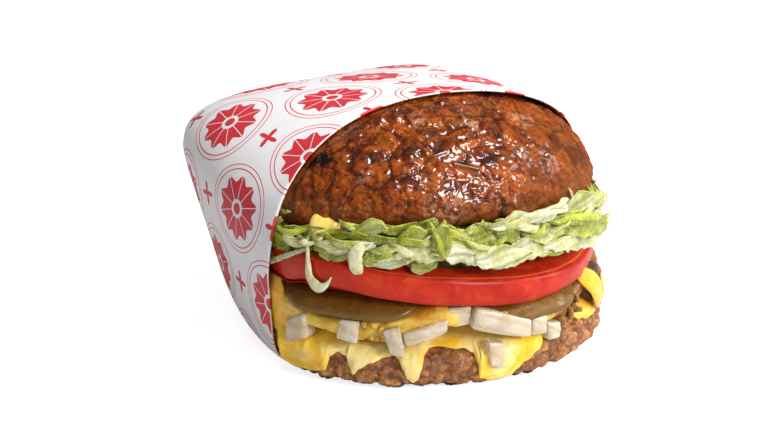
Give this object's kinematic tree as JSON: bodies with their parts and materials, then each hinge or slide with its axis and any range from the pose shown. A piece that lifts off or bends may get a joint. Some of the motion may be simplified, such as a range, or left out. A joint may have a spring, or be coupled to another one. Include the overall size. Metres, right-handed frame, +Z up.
{
  "type": "bunless double cheeseburger in a paper wrapper",
  "caption": "Bunless cheeseburger: a domed beef patty over lettuce, tomato, pickle, onion, relish and melted cheese on a lower patty, its rear half in a printed paper wrapper.",
  "frame": {"origin": "on the floor under the axis of the patties, on the wrapper's flat underside", "axes": "+Z up; -Y out of the wrapper's mouth, +Y towards its closed back; +X to the right seen from the open front"},
  "size_m": [0.1117, 0.1205, 0.0724],
  "materials": {
    "paper": "thin satin food paper with a red print",
    "beef": "seared minced beef, crumbly and moist",
    "beef_glazed": "grilled minced beef with a wet glaze and char marks",
    "cheese": "melted processed cheese, smooth and glossy",
    "relish": "wet pickle relish and mustard",
    "pickle": "olive brown pickled cucumber, wet",
    "tomato": "fresh tomato skin and cut flesh",
    "lettuce": "crisp shredded iceberg leaf with white ribs",
    "onion": "translucent diced white onion"
  },
  "bodies": {
    "root": {"wrapper": "paper", "patty_bottom": "beef", "patty_top": "beef_glazed", "cheese": "cheese", "relish": "relish", "pickle_left": "pickle", "pickle_right": "pickle", "tomato_left": "tomato", "tomato_right": "tomato", "lettuce": "lettuce", "cheese_tip": "cheese", "onion_01": "onion", "onion_02": "onion", "onion_03": "onion", "onion_04": "onion", "onion_05": "onion", "onion_06": "onion", "onion_07": "onion", "onion_08": "onion", "onion_09": "onion"}
  },
  "joints": []
}
